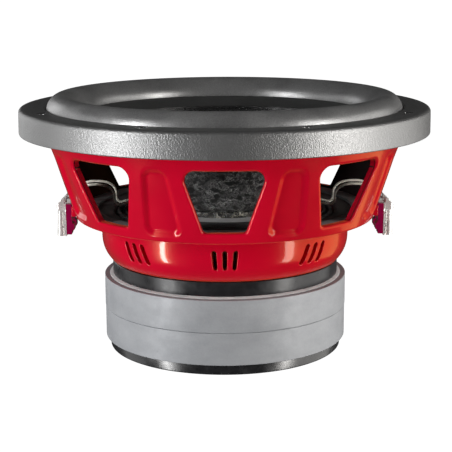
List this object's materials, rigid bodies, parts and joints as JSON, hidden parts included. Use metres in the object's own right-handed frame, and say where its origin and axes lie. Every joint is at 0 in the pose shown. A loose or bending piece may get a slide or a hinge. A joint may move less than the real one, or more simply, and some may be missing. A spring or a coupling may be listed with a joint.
{
  "type": "car subwoofer driver",
  "caption": "Car subwoofer driver: cast basket with windows, rubber surround and cone, stacked ring magnets, and push terminals on both sides.",
  "frame": {"origin": "centre of the back plate's underside", "axes": "+Z along the driver's axis, from the magnets towards the front; X runs through the two terminal blocks"},
  "size_m": [0.316, 0.316, 0.1986],
  "materials": {
    "red_paint": "gloss red paint on cast metal",
    "gasket_rubber": "grey rubber, fine leathery grain",
    "surround_rubber": "smooth black rubber, satin",
    "pulp": "black pressed pulp, crumpled",
    "spider_cloth": "black resin-dipped cloth, corrugated",
    "card": "grey pressed board",
    "black_steel": "black plating, semi-gloss",
    "bare_steel": "turned steel",
    "magnet_paint": "silver-grey paint on ferrite, cloudy",
    "sealant": "white sealant",
    "screw_steel": "dark zinc",
    "aluminium": "bare aluminium",
    "former_film": "amber film",
    "copper_wire": "enamelled copper wire",
    "collar_plastic": "grey moulded plastic",
    "block_plastic": "dark red moulded plastic",
    "nickel": "bright nickel plate",
    "spring_steel": "spring wire",
    "tinsel": "braided tinsel"
  },
  "bodies": {
    "frame": {"basket": "red_paint", "gasket": "gasket_rubber", "surround": "surround_rubber", "spider": "spider_cloth", "spider_ring": "card", "top_plate": "black_steel", "sealant_ring": "sealant", "magnet_upper": "magnet_paint", "magnet_lower": "magnet_paint", "back_plate": "black_steel", "pole_piece": "bare_steel", "shorting_ring": "aluminium", "basket_screws": "screw_steel", "block_left": "block_plastic", "block_right": "block_plastic", "block_screws": "nickel", "terminal_nuts": "nickel", "post_left_front": "nickel", "lug_left_front": "nickel", "spring_left_front": "spring_steel", "lead_left_front": "tinsel", "post_left_rear": "nickel", "lug_left_rear": "nickel", "spring_left_rear": "spring_steel", "lead_left_rear": "tinsel", "post_right_front": "nickel", "lug_right_front": "nickel", "spring_right_front": "spring_steel", "lead_right_front": "tinsel", "post_right_rear": "nickel", "lug_right_rear": "nickel", "spring_right_rear": "spring_steel", "lead_right_rear": "tinsel"},
    "cone": {"cone": "pulp", "dust_cap": "pulp", "coil_former": "former_film", "winding_inner": "copper_wire", "winding_outer": "copper_wire", "neck_coupler": "collar_plastic", "lead_anchors": "nickel"},
    "cap_left_front": {"push_cap_left_front": "nickel"},
    "cap_left_rear": {"push_cap_left_rear": "nickel"},
    "cap_right_front": {"push_cap_right_front": "nickel"},
    "cap_right_rear": {"push_cap_right_rear": "nickel"}
  },
  "joints": [
    {"name": "cone_travel", "type": "slide", "parent": "frame", "child": "cone", "axis": [0, 0, 1], "range_m": [-0.014, 0.014], "stiffness_N_per_m": 8000, "deforming": ["surround", "spider", "lead_left_front", "lead_left_rear", "lead_right_front", "lead_right_rear"]},
    {"name": "press_left_front", "type": "slide", "parent": "frame", "child": "cap_left_front", "axis": [0, 0, -1], "range_m": [0, 0.0025], "stiffness_N_per_m": 600, "springref_m": -0.002, "deforming": ["spring_left_front"]},
    {"name": "press_left_rear", "type": "slide", "parent": "frame", "child": "cap_left_rear", "axis": [0, 0, -1], "range_m": [0, 0.0025], "stiffness_N_per_m": 600, "springref_m": -0.002, "deforming": ["spring_left_rear"]},
    {"name": "press_right_front", "type": "slide", "parent": "frame", "child": "cap_right_front", "axis": [0, 0, -1], "range_m": [0, 0.0025], "stiffness_N_per_m": 600, "springref_m": -0.002, "deforming": ["spring_right_front"]},
    {"name": "press_right_rear", "type": "slide", "parent": "frame", "child": "cap_right_rear", "axis": [0, 0, -1], "range_m": [0, 0.0025], "stiffness_N_per_m": 600, "springref_m": -0.002, "deforming": ["spring_right_rear"]}
  ]
}
